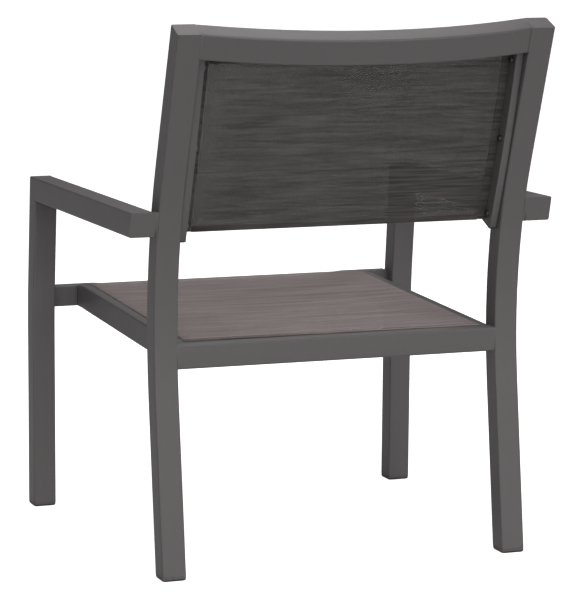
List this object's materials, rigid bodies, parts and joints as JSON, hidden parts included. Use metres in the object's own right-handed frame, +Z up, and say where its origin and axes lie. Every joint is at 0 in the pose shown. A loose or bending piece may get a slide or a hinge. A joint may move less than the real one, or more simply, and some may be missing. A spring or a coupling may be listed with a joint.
{
  "type": "sling patio chair",
  "caption": "Square-tube outdoor armchair with a stretched woven sling for the seat, another for the back, level arms, leaning posts and a bowed top rail.",
  "frame": {"origin": "on the floor, at the middle of the chair's footprint box", "axes": "+Z up, -Y the way the sitter faces, +X towards the sitter's left arm"},
  "size_m": [0.679, 0.764, 0.8379],
  "materials": {
    "frame_coating": "powder coat, dark warm grey, low sheen, on aluminium tube",
    "rail_coating": "powder coat, dark warm grey, low sheen, on aluminium extrusion",
    "sling_cloth": "woven coated-yarn mesh, grey-brown, matte with a sheen at a low angle",
    "rod_nylon": "natural nylon rod, matte",
    "black_plastic": "black moulded plastic, matte",
    "grey_plastic": "dark grey moulded plastic, matte, rounded edge",
    "screw_steel": "stainless steel, satin"
  },
  "bodies": {
    "root": {"left_rear_post": "frame_coating", "left_post_cap": "frame_coating", "left_front_leg": "frame_coating", "left_arm": "frame_coating", "left_arm_end_cap": "frame_coating", "left_arm_packer": "frame_coating", "left_seat_rail": "rail_coating", "left_seat_rod": "rod_nylon", "left_back_rail": "rail_coating", "left_back_rail_plug": "black_plastic", "left_back_rod": "rod_nylon", "left_rear_glide": "grey_plastic", "left_front_glide": "grey_plastic", "left_back_rail_screw_bottom": "screw_steel", "left_back_rail_screw_middle": "screw_steel", "left_back_rail_screw_top": "screw_steel", "right_rear_post": "frame_coating", "right_post_cap": "frame_coating", "right_front_leg": "frame_coating", "right_arm": "frame_coating", "right_arm_end_cap": "frame_coating", "right_arm_packer": "frame_coating", "right_seat_rail": "rail_coating", "right_seat_rod": "rod_nylon", "right_back_rail": "rail_coating", "right_back_rail_plug": "black_plastic", "right_back_rod": "rod_nylon", "right_rear_glide": "grey_plastic", "right_front_glide": "grey_plastic", "right_back_rail_screw_bottom": "screw_steel", "right_back_rail_screw_middle": "screw_steel", "right_back_rail_screw_top": "screw_steel", "top_rail": "frame_coating", "seat_rear_rail": "frame_coating", "seat_front_rail": "frame_coating", "seat_sling": "sling_cloth", "back_sling": "sling_cloth"}
  },
  "joints": []
}
